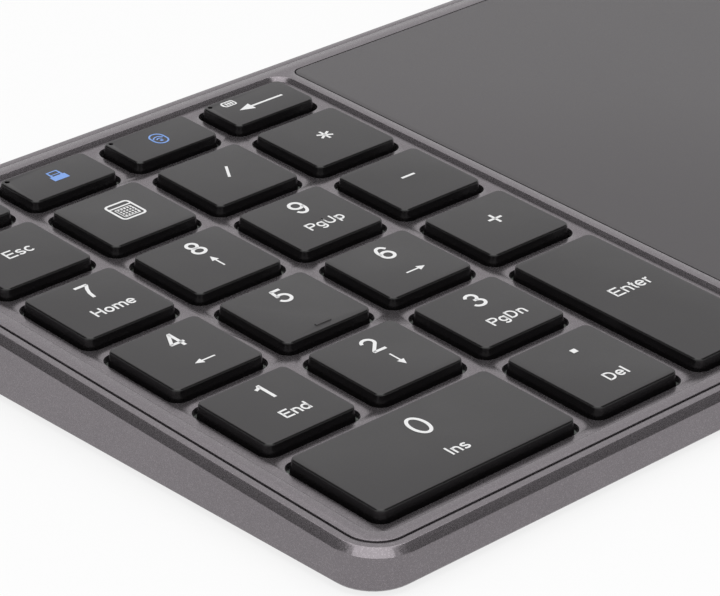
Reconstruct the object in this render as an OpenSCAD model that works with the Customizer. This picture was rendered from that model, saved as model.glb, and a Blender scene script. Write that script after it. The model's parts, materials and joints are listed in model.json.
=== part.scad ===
// Wireless numeric keypad with a touch panel, in a low wedge-shaped case.
// Millimetres. The deck is the tilted top face: X runs across it, Y towards the back
// and Z square out of it, and z = 0 there is the top of the rim.

/* [Keys] */
// Distance from one key column to the next
key_pitch = 19; // [18:0.1:20.5]
// Gap between key tops, side to side
key_gap_x = 3.85; // [3.6:0.05:4.4]
// Gap between key tops, front to back
key_gap_y = 3.6; // [3.5:0.05:4.4]
// Depth of the key tops in the four middle rows
key_depth = 14.2; // [13.6:0.05:15.5]
// Depth of the key tops in the back row
back_key_depth = 8.5; // [8:0.1:11]
// Depth of the key tops in the front row
front_key_depth = 16.8; // [15.5:0.1:19]
// Corner radius of a key top
key_corner = 1.1; // [0.6:0.1:1.6]
// Bevel round a key top
key_bevel = 0.2; // [0.05:0.05:0.3]
// How far the skirt of a key flares beyond its top
key_flare = 0.3; // [0.1:0.05:0.4]
// Height of a keycap, top to skirt edge
key_height = 2.7; // [2.5:0.1:3.2]
// Thickness of a keycap's top wall
key_top_t = 1.3; // [1.1:0.1:1.5]
// Thickness of a keycap's skirt
key_wall = 0.9; // [0.7:0.05:1]
// How far the key tops stand above the rim
key_rise = 0.85; // [0.6:0.05:1.2]
// How far a key goes down
key_travel = 1.8; // [1.4:0.1:2.2]
// Width of the light hole in a key with a lamp
lamp_hole_d = 0.7; // [0.5:0.05:0.9]
// Distance of the light hole from the two edges of the key top
lamp_inset = 0.95; // [0.8:0.05:1.2]

/* [Case] */
// Angle between the deck and the table
wedge = 2.6; // [1.5:0.1:4]
// Outer corner radius of the case
case_corner = 7; // [6:0.5:9]
// Width of the chamfer round the top of the case
chamfer_w = 1.1; // [0.8:0.1:1.4]
// Height of that chamfer
chamfer_h = 0.9; // [0.6:0.1:1.4]
// Width of the flat strip between the chamfer and the cover
strip_w = 1; // [0.8:0.1:1.4]
// How far the strip lies below the rim
strip_drop = 0.15; // [0:0.05:0.3]
// Bevel along the bottom edge
bottom_bevel = 0.5; // [0.3:0.1:1]
// Wall of the case
case_wall = 1.8; // [1.4:0.1:2]
// Thickness of the case floor
floor_t = 1.2; // [1:0.1:1.6]
// Width of the ledge that carries the cover
ledge_w = 1.2; // [0.8:0.1:1.4]
// Thickness of that ledge
ledge_t = 1; // [0.8:0.1:1.4]
// Room between the key plate's front edge and the floor
plate_room = 0.3; // [0.2:0.05:1]

/* [Cover] */
// Thickness of the rim of the cover
rim_t = 1.2; // [1:0.1:1.5]
// Gap between the cover and the case
cover_gap = 0.25; // [0.15:0.05:0.4]
// Distance from the case side to the key well or the touch panel
side_margin = 4.6; // [4.4:0.1:7]
// Distance from the case front or back to the key well
end_margin = 4.15; // [4:0.05:7]
// Distance from the sides of the key well to the key tops
well_margin = 3.1; // [2.8:0.1:5]
// Distance from the front and back of the key well to the key tops
well_end_margin = 2.8; // [2.6:0.1:4]
// Depth of the key well below the rim
well_depth = 0.65; // [0.5:0.05:0.9]
// Corner radius of the key well
well_corner = 3; // [2:0.5:4]
// How far the wall of the key well slopes in
well_slope = 0.55; // [0.3:0.05:0.8]
// Thickness of the floor of the key well
web_t = 1; // [0.8:0.1:1.4]
// How far each key opening is larger than the key top, all round
opening_margin = 0.85; // [0.75:0.05:0.95]
// Corner radius of a key opening
opening_corner = 2; // [1.5:0.1:2.4]

/* [Touch panel] */
// Width of the opening for the touch panel
touch_w = 100.8; // [80:0.2:140]
// Width of the bar between the key well and the touch panel
touch_web = 1.5; // [1.2:0.1:6]
// Corner radius of the touch panel
touch_corner = 1.8; // [1:0.1:4]
// Thickness of the touch panel
touch_t = 1; // [0.7:0.1:1.1]
// Gap round the touch panel
touch_gap = 0.2; // [0.1:0.05:0.4]
// Width of the ledge under the touch panel
touch_ledge = 1.5; // [1:0.1:3]
// Thickness of the sensor board under the touch panel
sensor_t = 0.8; // [0.6:0.1:1]

/* [Key mechanism] */
// Thickness of the steel key plate
plate_t = 0.4; // [0.3:0.05:0.6]
// Thickness of the switch membrane
membrane_t = 0.3; // [0.2:0.05:0.4]
// Room left under a key that is fully down
bottom_room = 0.25; // [0.2:0.05:0.5]
// How far the key plate reaches beyond the key tops
plate_margin = 0.65; // [0.5:0.05:0.7]
// Radius of the bars at the ends of a scissor link
bar_r = 0.4; // [0.35:0.01:0.42]
// Distance of a long link's bars from the middle of the key
reach_outer = 4.35; // [4.25:0.05:4.4]
// Distance of a short link's bars from the middle of the key
reach_inner = 3.2; // [3.1:0.05:3.3]
// Half the width of the outer link
link_half = 5.7; // [5.5:0.05:5.9]
// Thickness of a link's side
link_side = 0.8; // [0.6:0.05:0.85]
// Gap between the two links
link_gap = 0.2; // [0.12:0.02:0.26]
// Half the width of the outer link in a back row key
small_link_half = 2.7; // [2.6:0.02:2.72]
// Thickness of a link's side in a back row key
small_link_side = 0.5; // [0.4:0.02:0.52]
// Distance of a short link's bars from the middle of a back row key
small_reach_inner = 2.55; // [2.4:0.05:2.65]
// Radius of the pin that joins two links
link_pin_r = 0.3; // [0.2:0.02:0.34]
// Radial clearance round the bars, pins and wires
pin_play = 0.08; // [0.05:0.01:0.1]
// Base radius of a rubber dome
dome_r = 2.6; // [2.3:0.05:2.7]
// Base radius of a rubber dome in the back row
small_dome_r = 1.35; // [1.2:0.05:1.4]
// Radius of the wire of a stabiliser
wire_r = 0.35; // [0.3:0.01:0.36]
// Length of a stabiliser along the key
wire_span = 24; // [22:0.5:26]
// Length of a stabiliser's arms
wire_arm = 6.5; // [6.2:0.1:6.8]
// Distance of a stabiliser's bar from the middle of the key
wire_offset = 5.6; // [5.55:0.01:5.65]

/* [Electronics] */
// Width of the main board
board_w = 78; // [76:1:84]
// Depth of the main board
board_d = 26; // [24:1:30]
// Thickness of the main board
board_t = 1; // [0.8:0.1:1.2]
// Distance from the key plate to the main board
board_gap = 3.4; // [3:0.1:5]
// Height of the posts under the main board
post_h = 1.6; // [1.2:0.1:2]
// Sideways place of the charging port
usb_x = 22; // [18:1:30]
// Width of the charging port's shell
usb_w = 8.94; // [8.9:0.01:9]
// Height of the charging port's shell
usb_h = 3.26; // [3.2:0.01:3.3]
// Length of the charging port's shell
usb_l = 7.35; // [6.5:0.05:8]
// Sideways place of the power switch
switch_x = 46; // [42:1:52]
// Travel of the power switch
switch_travel = 2; // [1.5:0.1:2.4]
// Width of the battery
battery_w = 52; // [40:1:60]
// Depth of the battery
battery_d = 36; // [30:1:40]
// Thickness of the battery
battery_t = 3.2; // [2.4:0.1:3.3]

/* [Feet and screws] */
// Height of the feet below the case
foot_h = 0.6; // [0.4:0.1:1.2]
// Length of a rubber foot
foot_l = 24; // [14:1:30]
// Width of a rubber foot
foot_w = 7; // [5:0.5:10]
// Depth of the recess that holds a foot
foot_recess = 0.4; // [0.3:0.05:0.5]
// Distance of the case screws from the sides of the case
screw_inset = 5; // [4.9:0.05:5.1]
// Radius of a case screw's shank
screw_r = 0.75; // [0.6:0.05:0.8]
// Radius of a case screw's head
screw_head_r = 1.5; // [1.3:0.05:1.6]
// Length of a case screw under its head
screw_l = 3.4; // [3:0.1:3.5]

/* [Hidden] */
$fn = 48;
eps = 0.01;
case_colour = "#76706f";
key_colour = "#2b2a2c";
steel_colour = "#b9bcc0";

// Each key: name, column, row, columns wide, rows deep. Row 0 is the back row.
KEYS = [
    ["fn", 0, 0, 1, 1], ["lock", 1, 0, 1, 1], ["wireless", 2, 0, 1, 1], ["backspace", 3, 0, 1, 1],
    ["esc", 0, 1, 1, 1], ["calculator", 1, 1, 1, 1], ["divide", 2, 1, 1, 1], ["multiply", 3, 1, 1, 1],
    ["7", 0, 2, 1, 1], ["8", 1, 2, 1, 1], ["9", 2, 2, 1, 1], ["minus", 3, 2, 1, 1],
    ["4", 0, 3, 1, 1], ["5", 1, 3, 1, 1], ["6", 2, 3, 1, 1], ["plus", 3, 3, 1, 1],
    ["1", 0, 4, 1, 1], ["2", 1, 4, 1, 1], ["3", 2, 4, 1, 1], ["enter", 3, 4, 1, 2],
    ["0", 0, 5, 2, 1], ["decimal", 2, 5, 1, 1]
];
LAMP_KEYS = ["lock", "wireless", "backspace"];
COLUMNS = 4;
ROWS = 6;

ROW_NAMES = [for (r = [0:ROWS - 1]) str("row_", r + 1)];

// Key grid, measured on the deck
cap_w = key_pitch - key_gap_x;
row_depths = [back_key_depth, key_depth, key_depth, key_depth, key_depth, front_key_depth];
function sum_to(list, n) = n <= 0 ? 0 : list[n - 1] + sum_to(list, n - 1);
grid_w = (COLUMNS - 1) * key_pitch + cap_w;
grid_d = sum_to(row_depths, ROWS) + (ROWS - 1) * key_gap_y;
well_w = grid_w + 2 * well_margin;
well_d = grid_d + 2 * well_end_margin;

// Body
body_w = side_margin + well_w + touch_web + touch_w + side_margin;
body_d = well_d + 2 * end_margin;
well_left = side_margin - body_w / 2;
well_u = well_left + well_w / 2;
grid_left = well_left + well_margin;
grid_back = well_d / 2 - well_end_margin;
touch_left = well_left + well_w + touch_web;
touch_u = touch_left + touch_w / 2;
touch_d = body_d - 2 * side_margin;

function col_left(c) = grid_left + c * key_pitch;
function row_back(r) = grid_back - sum_to(row_depths, r) - r * key_gap_y;
function key_w(k) = k[3] * key_pitch - key_gap_x;
function key_d(k) = row_back(k[2]) - row_back(k[2] + k[4]) - key_gap_y;
function key_u(k) = col_left(k[1]) + key_w(k) / 2;
function key_v(k) = row_back(k[2]) - key_d(k) / 2;
function is_small(k) = k[2] == 0;
// The links of the back row and of a key that is deeper than wide lie across it
function is_turned(k) = is_small(k) || k[4] > 1;
function is_wide(k) = k[3] > 1 || k[4] > 1;
function has_lamp(k) = len([for (n = LAMP_KEYS) if (n == k[0]) n]) > 0;

// Heights on the deck
skirt_z = key_rise - key_height;
cap_under = key_rise - key_top_t;
membrane_top = skirt_z - key_travel - bottom_room;
plate_top = membrane_top - membrane_t;
plate_bottom = plate_top - plate_t;
cover_under = -(well_depth + web_t);
upper_pin = cap_under - bar_r - 0.3;
lower_pin = plate_top + membrane_t + bar_r + 0.1;
link_rise = upper_pin - lower_pin;

// The case floor seen from the deck
plate_inset = end_margin + well_end_margin - plate_margin;
front_h = -plate_bottom + plate_room + floor_t - plate_inset * sin(wedge);
function case_z(v) = -(front_h + (v + body_d / 2) * sin(wedge)) / cos(wedge);

// Placing the deck over the table, with the outline centred on the origin
deck_height = foot_h + front_h + body_d / 2 * sin(wedge);
function wall_z(v, z) = (z - deck_height - v * sin(wedge)) / cos(wedge);
function wall_y(v, z) = v * cos(wedge) - wall_z(v, z) * sin(wedge);
foremost_y = -body_d / 2 * cos(wedge) + (strip_drop + chamfer_h) * sin(wedge);
rearmost_y = wall_y(body_d / 2, foot_h + bottom_bevel);
deck_shift = -(foremost_y + rearmost_y) / 2;
function back_face(z) = wall_y(body_d / 2, z) + deck_shift;
floor_z = foot_h + floor_t;
board_z = floor_z + post_h;
board_top = board_z + board_t;
over = 30;

module deck() {
    translate([0, deck_shift, deck_height]) rotate([wedge, 0, 0]) children();
}

module rounded_rect(w, d, r) {
    square([w - 2 * r, d], center = true);
    square([w, d - 2 * r], center = true);
    for (x = [-1, 1], y = [-1, 1])
        translate([x * (w / 2 - r), y * (d / 2 - r)]) circle(r);
}

// A rounded slab between two heights
module slab(w, d, r, low, high) {
    translate([0, 0, low]) linear_extrude(high - low) rounded_rect(w, d, r);
}

// A rounded slab that is drawn in by some distance all round from its bottom to its top
module tapered_slab(w, d, r, inset, low, high) {
    h = high - low;
    translate([0, 0, low]) {
        for (x = [-1, 1], y = [-1, 1])
            translate([x * (w / 2 - r), y * (d / 2 - r), 0]) cylinder(r1 = r, r2 = r - inset, h = h);
        rotate([90, 0, 0]) linear_extrude(d - 2 * r, center = true) sloped_side(w, h, inset);
        rotate([90, 0, 90]) linear_extrude(w - 2 * r, center = true) sloped_side(d, h, inset);
    }
}

module sloped_side(w, h, inset) {
    polygon([[-w / 2, 0], [w / 2, 0], [w / 2 - inset, h], [inset - w / 2, h]]);
}

// A slab with the case's outline, drawn in by some distance all round
module case_slab(inset, low, high) {
    slab(body_w - 2 * inset, body_d - 2 * inset, case_corner - inset, low, high);
}

module box(size, at) {
    translate([at[0] - size[0] / 2, at[1] - size[1] / 2, at[2]]) cube(size);
}

// ---- Case ----

cover_inset = chamfer_w + strip_w + cover_gap;
recess_inset = chamfer_w + strip_w;
ledge_inset = recess_inset + ledge_w;
screw_places = [
    for (x = [-1, 1], y = [-1, 0, 1]) [x * (body_w / 2 - screw_inset), y * (body_d / 2 - screw_inset)]
];
screw_seat = 1.3;
screw_head_h = 0.9;
boss_r = 2.4;
boss_h = 0.8;
cover_post_r = 1.6;
screw_hole_r = screw_r + 0.15;
pilot_r = screw_r + 0.05;

module case_blank() {
    wall_top = -strip_drop - chamfer_h;
    intersection() {
        deck() {
            tapered_slab(body_w, body_d, case_corner, chamfer_w, wall_top, -strip_drop);
            case_slab(0, -over, wall_top);
        }
        case_underside();
    }
}

// Everything above the flat bottom and its bevelled edge. The bevel runs on past the walls.
module case_underside() {
    front = wall_y(-body_d / 2, foot_h + bottom_bevel);
    depth = rearmost_y - front;
    bevel = bottom_bevel;
    reach = 2 * bevel;
    translate([0, (front + rearmost_y) / 2 + deck_shift, foot_h]) {
        tapered_slab(body_w - 2 * bevel, depth - 2 * bevel, case_corner - reach, -reach, 0, reach);
        translate([-body_w, -body_d, reach]) cube([2 * body_w, 2 * body_d, over]);
    }
}

module above_floor() {
    translate([-body_w, -body_d, floor_z]) cube([2 * body_w, 2 * body_d, over]);
}

board_x = grid_left + grid_w + plate_margin + board_gap + board_w / 2;
board_back = back_face(board_z) - case_wall - 1.2;
board_y = board_back - board_d / 2;
board_holes = [[-1, 1], [-1, -1], [1, -1]];
board_hole_inset = 3;
board_screw_r = 0.7;
function board_hole(h) = [
    board_x + h[0] * (board_w / 2 - board_hole_inset), board_y + h[1] * (board_d / 2 - board_hole_inset)
];

foot_x = body_w / 2 - foot_l / 2 - 9;
foot_y = body_d / 2 - foot_w / 2 - 8;
foot_places = [for (x = [-1, 1], y = [-1, 1]) [x * foot_x, y * foot_y]];
foot_play = 0.1;
foot_corner = foot_w / 2 - 0.5;

module bottom_case() {
    color(case_colour) difference() {
        union() {
            difference() {
                case_blank();
                deck() case_slab(recess_inset, -rim_t, over);
                deck() case_slab(ledge_inset, -rim_t - ledge_t - eps, over);
                intersection() {
                    deck() case_slab(case_wall, -over, -rim_t - ledge_t);
                    above_floor();
                }
            }
            deck() for (p = screw_places)
                translate([p[0], p[1], case_z(p[1]) + floor_t / 2])
                    cylinder(r = boss_r, h = screw_seat + boss_h - floor_t / 2);
            for (h = board_holes)
                translate([board_hole(h)[0], board_hole(h)[1], floor_z - floor_t / 2])
                    cylinder(r = 2, h = post_h + floor_t / 2);
            battery_frame();
        }
        deck() for (p = screw_places) translate([p[0], p[1], case_z(p[1])]) {
            translate([0, 0, -over]) cylinder(r = screw_head_r + 0.2, h = over + screw_seat);
            cylinder(r = screw_hole_r, h = over / 2);
        }
        deck() for (p = screw_places)
            translate([p[0], p[1], case_z(p[1]) + screw_seat + boss_h]) cylinder(r = cover_post_r + 0.2, h = over);
        for (h = board_holes)
            translate([board_hole(h)[0], board_hole(h)[1], floor_z - floor_t / 2])
                cylinder(r = board_screw_r + 0.05, h = over);
        for (p = foot_places)
            translate([p[0], p[1], 0])
                slab(foot_l + 2 * foot_play, foot_w + 2 * foot_play, foot_corner + foot_play,
                     foot_h - eps, foot_h + foot_recess);
        usb_hole();
        switch_hole();
    }
}

// Low ribs on the floor that keep the battery in its place
battery_x = touch_u + 6;
battery_y = board_y - board_d / 2 - battery_d / 2 - 8;
rib_t = 1;
rib_h = 1.5;
battery_play = 0.2;

module battery_frame() {
    for (s = [-1, 1]) {
        box([rib_t, battery_d * 0.6, rib_h + eps],
            [battery_x + s * (battery_w / 2 + battery_play + rib_t / 2), battery_y, floor_z - eps]);
        box([battery_w * 0.5, rib_t, rib_h + eps],
            [battery_x, battery_y + s * (battery_d / 2 + battery_play + rib_t / 2), floor_z - eps]);
    }
}

module top_cover() {
    color(case_colour) deck() difference() {
        union() {
            case_slab(cover_inset, -rim_t, 0);
            case_slab(ledge_inset + 0.2, cover_under, -rim_t / 2);
            for (p = screw_places)
                translate([p[0], p[1], case_z(p[1]) + screw_seat + boss_h])
                    cylinder(r = cover_post_r, h = -rim_t / 2 - case_z(p[1]) - screw_seat - boss_h);
            for (s = stake_places) translate([s[0], s[1], 0]) cover_stake();
        }
        translate([well_u, 0, 0])
            tapered_slab(well_w - 2 * well_slope, well_d - 2 * well_slope, well_corner - well_slope,
                         -well_slope, -well_depth, 0);
        for (k = KEYS) translate([key_u(k), key_v(k), 0])
            slab(key_w(k) + 2 * opening_margin, key_d(k) + 2 * opening_margin, opening_corner,
                 -over, over);
        translate([touch_u, 0, 0]) {
            slab(touch_w, touch_d, touch_corner, -touch_t, over);
            slab(touch_w - 2 * touch_ledge, touch_d - 2 * touch_ledge, touch_corner, -over, over);
        }
        for (p = screw_places)
            translate([p[0], p[1], case_z(p[1])])
                cylinder(r = pilot_r, h = screw_seat + screw_l + 0.2);
    }
}

// Posts under the cover, between the keys, with staked ends that hold the key plate
stake_r = 0.7;
stake_post_r = 1.2;
stake_head_r = 1.3;
stake_head_h = 0.3;
stake_places = [
    for (c = [1, 3], r = [1, 3, 5]) [col_left(c) - key_gap_x / 2, row_back(r) + key_gap_y / 2]
];

module cover_stake() {
    translate([0, 0, membrane_top]) cylinder(r = stake_post_r, h = cover_under - membrane_top + eps);
    translate([0, 0, plate_bottom - eps]) cylinder(r = stake_r, h = membrane_top - plate_bottom + 2 * eps);
    translate([0, 0, plate_bottom - stake_head_h]) cylinder(r = stake_head_r, h = stake_head_h);
}

module rubber_feet() {
    color("#1d1d1f") for (p = foot_places)
        translate([p[0], p[1], 0]) slab(foot_l, foot_w, foot_corner, 0, foot_h + foot_recess);
}

module case_screws() {
    color(steel_colour) deck() for (p = screw_places)
        translate([p[0], p[1], case_z(p[1]) + screw_seat]) difference() {
            union() {
                translate([0, 0, -screw_head_h]) cylinder(r = screw_head_r, h = screw_head_h);
                cylinder(r = screw_r, h = screw_l);
            }
            for (a = [0, 90]) rotate(a) box([1.8, 0.4, 0.5 + eps], [0, 0, -screw_head_h - eps]);
        }
}

// ---- Touch panel ----

module touch_panel() {
    color("#69666a") deck() translate([touch_u, 0, 0])
        slab(touch_w - 2 * touch_gap, touch_d - 2 * touch_gap, touch_corner - touch_gap, -touch_t, 0);
}

sensor_inset = touch_ledge + 1.2;

module touch_sensor_board() {
    color("#1f5c3c") deck() translate([touch_u, 0, 0])
        slab(touch_w - 2 * sensor_inset, touch_d - 2 * sensor_inset, 1, -touch_t - sensor_t, -touch_t);
}

// ---- Keys ----

module keycap(k) {
    w = key_w(k);
    d = key_d(k);
    wide = 2 * key_flare;
    color(key_colour) deck() translate([key_u(k), key_v(k), 0]) {
        difference() {
            union() {
                tapered_slab(w + wide, d + wide, key_corner + key_flare, key_flare,
                             skirt_z, key_rise - key_bevel);
                tapered_slab(w, d, key_corner, key_bevel, key_rise - key_bevel, key_rise);
            }
            slab(w - 2 * key_wall, d - 2 * key_wall, key_corner, skirt_z - eps, cap_under);
            if (has_lamp(k))
                translate([lamp_inset - w / 2, d / 2 - lamp_inset, skirt_z - eps])
                    cylinder(d = lamp_hole_d, h = key_height + 1, $fn = 24);
        }
        cap_clips(k);
        if (is_wide(k)) wire_clips(k);
        if (k[0] == "5") homing_bar(d);
    }
}

module homing_bar(d) {
    box([2.6, 0.45, 0.15 + eps], [0, 1.4 - d / 2, key_rise - eps]);
}

// The links are drawn with their arms along Y and turned where they lie across the key
module turned(k) {
    rotate(is_turned(k) ? -90 : 0) children();
}

function half_of(k) = is_small(k) ? small_link_half : link_half;
function side_of(k) = is_small(k) ? small_link_side : link_side;
function inner_reach(k) = is_small(k) ? small_reach_inner : reach_inner;
// Where clips and hooks sit along the bars: width and distances from the middle
function clip_w(k) = is_small(k) ? 1.2 : 0.8;
function clip_at(k) = is_small(k) ? [0] : [-3.3, 3.3];
function hook_at(k) = is_small(k) ? [0] : [-2, 2];
clip_t = 0.3;
grip_r = bar_r + pin_play;

// Clips under the cap: a snug pair for the outer link and a sliding pair for the inner one
module cap_clips(k) {
    turned(k) for (x = clip_at(k)) {
        difference() {
            clip_block(clip_w(k), [x, reach_outer], -grip_r - clip_t, grip_r + clip_t);
            translate([x, reach_outer, upper_pin]) {
                rotate([0, 90, 0]) cylinder(r = grip_r, h = over, center = true, $fn = 24);
                box([over, 1.5 * bar_r, over], [0, 0, -over]);
            }
        }
        difference() {
            clip_block(clip_w(k), [x, -inner_reach(k)], -grip_r - 0.4, grip_r + clip_t);
            translate([x, -inner_reach(k), upper_pin])
                box([over, 2 * grip_r + 2, 2 * grip_r], [0, -1, -grip_r]);
        }
    }
}

module clip_block(w, at, back, front) {
    translate([at[0] - w / 2, at[1] + back, upper_pin - grip_r - clip_t])
        cube([w, front - back, cap_under - upper_pin + grip_r + clip_t + eps]);
}

// Scissor links

module link(half, reach, side) {
    angle = atan(link_rise / 2 / reach);
    for (s = [-1, 1]) {
        translate([0, s * reach, s * link_rise / 2])
            rotate([0, 90, 0]) cylinder(r = bar_r, h = 2 * half, center = true, $fn = 24);
        translate([s * (half - side / 2), 0, 0]) rotate([angle, 0, 0])
            cube([side, 2 * reach / cos(angle), 2 * bar_r], center = true);
    }
}

module scissor(k) {
    half = half_of(k);
    side = side_of(k);
    inner_half = half - side - link_gap;
    translate([key_u(k), key_v(k), (upper_pin + lower_pin) / 2]) turned(k) {
        difference() {
            link(half, reach_outer, side);
            rotate([0, 90, 0]) cylinder(r = link_pin_r + pin_play, h = 4 * half, center = true, $fn = 24);
        }
        mirror([0, 1, 0]) link(inner_half, inner_reach(k), side);
        for (s = [-1, 1]) translate([s * (inner_half - eps), 0, 0])
            rotate([0, s * 90, 0]) cylinder(r = link_pin_r, h = link_gap + side, $fn = 24);
    }
}

module scissors(row) {
    color("#d8d8d4") deck() for (k = KEYS) if (k[2] == row) scissor(k);
}

// Rubber domes

module dome(r) {
    height = cap_under - membrane_top - 0.05;
    flange_t = 0.3;
    skin = 0.25;
    skirt = 0.8 * r;
    crown = 0.5 * r;
    nub = 0.2 * r;
    roof = height - 0.8;
    rotate_extrude($fn = 32) polygon([
        [skirt - skin, 0], [r, 0], [r, flange_t], [skirt, flange_t], [crown, roof], [crown, height],
        [0, height], [0, roof - 0.9], [nub, roof - 0.9], [nub, roof - skin], [crown - skin, roof - skin]
    ]);
}

module domes(row) {
    color("#8f9aa0") deck() for (k = KEYS) if (k[2] == row)
        translate([key_u(k), key_v(k), membrane_top]) dome(is_small(k) ? small_dome_r : dome_r);
}

// Stabilisers: a wire bar along the long side of a wide key, with two arms down to the plate

wire_foot = 1.8;
// The arms are drawn a hair thinner than the bar that they run into
wire_arm_r = wire_r - eps;
wire_hook_w = 1;
wire_play = 0.08;
foot_offset = wire_offset - sqrt(wire_arm * wire_arm - link_rise * link_rise);

// A stabiliser's own X runs along the key
module along_key(k) {
    rotate(k[4] > 1 ? -90 : 0) children();
}

module stabiliser(name) {
    color(steel_colour) deck() for (k = KEYS) if (k[0] == name)
        translate([key_u(k), key_v(k), 0]) along_key(k) {
            translate([0, wire_offset, upper_pin])
                rotate([0, 90, 0]) cylinder(r = wire_r, h = wire_span + 2 * wire_r, center = true, $fn = 24);
            for (s = [-1, 1]) {
                translate([s * wire_span / 2, wire_offset, upper_pin])
                    rotate([90 + asin(link_rise / wire_arm), 0, 0])
                        cylinder(r = wire_arm_r, h = wire_arm, $fn = 24);
                translate([s * (wire_span / 2 - wire_r), foot_offset, lower_pin])
                    rotate([0, s * 90, 0]) cylinder(r = wire_r, h = wire_foot + wire_r, $fn = 24);
            }
        }
}

// Lips under a wide cap that carry the stabiliser's bar and let it slide outwards
module wire_clips(k) {
    grip = wire_r + wire_play;
    reach = min(key_w(k), key_d(k)) / 2 - key_wall + eps;
    low = upper_pin - grip - clip_t;
    along_key(k) for (s = [-1, 1]) translate([s * wire_span / 3, 0, 0]) difference() {
        translate([-0.6, wire_offset - grip - clip_t, low])
            cube([1.2, reach - wire_offset + grip + clip_t, cap_under - low + eps]);
        translate([-1, wire_offset - grip, upper_pin - grip]) cube([2, reach, 2 * grip]);
    }
}

// ---- Key plate and membrane ----

hook_top = lower_pin + grip_r + 0.3;
hook_half = grip_r + clip_t;

// Footprint of every hook of a key: width, depth and place
function hooks(k) = concat(
    [for (x = hook_at(k)) [[1.2, 2 * hook_half], [x, -reach_outer]]],
    [for (x = hook_at(k)) [[1.2, 2 * hook_half], [x, inner_reach(k)]]]
);
function wire_hooks() = [
    for (s = [-1, 1]) [[wire_hook_w, 2 * (wire_r + clip_t + wire_play)],
                       [s * (wire_span / 2 + wire_foot / 2 + 0.3), foot_offset]]
];

module hook_block(h, grow, low, high) {
    box([h[0][0] + 2 * grow, h[0][1] + 2 * grow, high - low], [h[1][0], h[1][1], low]);
}

module key_hooks(k) {
    turned(k) for (h = hooks(k)) difference() {
        hook_block(h, 0, plate_top - eps, hook_top);
        translate([h[1][0], h[1][1], lower_pin]) {
            rotate([0, 90, 0]) cylinder(r = grip_r, h = over, center = true, $fn = 24);
            box([over, 2, 2 * grip_r], [0, sign(h[1][1]), -grip_r]);
        }
    }
    if (is_wide(k)) along_key(k) for (h = wire_hooks()) difference() {
        hook_block(h, 0, plate_top - eps, hook_top - 0.1);
        translate([h[1][0], h[1][1], lower_pin])
            rotate([0, 90, 0]) cylinder(r = wire_r + wire_play, h = over, center = true, $fn = 24);
    }
}

module plate_outline(low, high) {
    translate([grid_left + grid_w / 2, 0, 0])
        slab(grid_w + 2 * plate_margin, grid_d + 2 * plate_margin, 1, low, high);
}

stake_play = 0.15;

module stake_holes() {
    for (s = stake_places)
        translate([s[0], s[1], -over]) cylinder(r = stake_r + stake_play, h = over);
}

module key_plate() {
    color(steel_colour) deck() {
        difference() {
            plate_outline(plate_bottom, plate_top);
            stake_holes();
        }
        for (k = KEYS) translate([key_u(k), key_v(k), 0]) key_hooks(k);
    }
}

hook_play = 0.15;

module membrane_sheet() {
    color("#cfd6cf") deck() difference() {
        plate_outline(plate_top, membrane_top);
        stake_holes();
        for (k = KEYS) translate([key_u(k), key_v(k), 0]) {
            turned(k) for (h = hooks(k)) hook_block(h, hook_play, plate_top - 1, membrane_top + 1);
            if (is_wide(k)) along_key(k)
                for (h = wire_hooks()) hook_block(h, hook_play, plate_top - 1, membrane_top + 1);
            if (has_lamp(k)) lamp_block(k, 0.1, plate_top - 1, membrane_top + 1);
        }
    }
}

// A lamp under the light hole of a key
lamp_side = 0.9;
lamp_h = 0.45;

module lamp_block(k, grow, low, high) {
    box([lamp_side + 2 * grow, lamp_side + 2 * grow, high - low],
        [lamp_inset - key_w(k) / 2, key_d(k) / 2 - lamp_inset, low]);
}

module indicator_leds() {
    color("#e8e4c8") deck() for (k = KEYS) if (has_lamp(k))
        translate([key_u(k), key_v(k), 0]) lamp_block(k, 0, plate_top, plate_top + lamp_h);
}

// ---- Electronics, on the flat floor ----

module main_board() {
    color("#1f5c3c") difference() {
        box([board_w, board_d, board_t], [board_x, board_y, board_z]);
        for (h = board_holes)
            translate([board_hole(h)[0], board_hole(h)[1], 0]) cylinder(r = board_screw_r + 0.2, h = over);
    }
}

module board_screws() {
    color(steel_colour) for (h = board_holes) translate([board_hole(h)[0], board_hole(h)[1], 0]) {
        translate([0, 0, board_top]) cylinder(r = 1.4, h = 0.6);
        translate([0, 0, floor_z]) cylinder(r = board_screw_r, h = board_top - floor_z + eps);
    }
}

module controller_chips() {
    color("#161618") {
        box([6, 6, 0.9], [board_x - 8, board_y + 2, board_top]);
        box([4, 4, 0.8], [board_x + 14, board_y - 4, board_top]);
        box([5, 3, 0.9], [board_x + 22, board_y - 4, board_top]);
    }
}

// Each connector is a low block with a slot that a ribbon end goes into
connector_h = 1.6;
connector_slot = 0.9;
ribbon_t = 0.2;
keypad_ribbon_w = 10;
touch_ribbon_w = 12;
key_connector_x = board_x - board_w / 2 + 3;
key_connector_y = board_y - 1;
touch_connector_y = board_y - board_d / 2 + 3.5;
touch_connector_x = board_x + 2;
slot_z = board_top + 0.35;

module ribbon_connectors() {
    color("#e4ddc8") {
        difference() {
            box([3.5, keypad_ribbon_w + 2.4, connector_h], [key_connector_x, key_connector_y, board_top]);
            translate([-0.8, 0, 0]) box([3.5, keypad_ribbon_w + 0.6, connector_slot],
                [key_connector_x, key_connector_y, slot_z]);
        }
        difference() {
            box([touch_ribbon_w + 2.4, 3.5, connector_h], [touch_connector_x, touch_connector_y, board_top]);
            translate([0, -0.8, 0]) box([touch_ribbon_w + 0.6, 3.5, connector_slot],
                [touch_connector_x, touch_connector_y, slot_z]);
        }
    }
}

// A ribbon with a level start, a sloping run and a level end, from the points of its underside
module ribbon(points, width) {
    back = [for (i = [len(points) - 1:-1:0]) points[i] + [0, ribbon_t]];
    translate([0, width / 2, 0]) rotate([90, 0, 0]) linear_extrude(width) polygon(concat(points, back));
}

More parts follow.
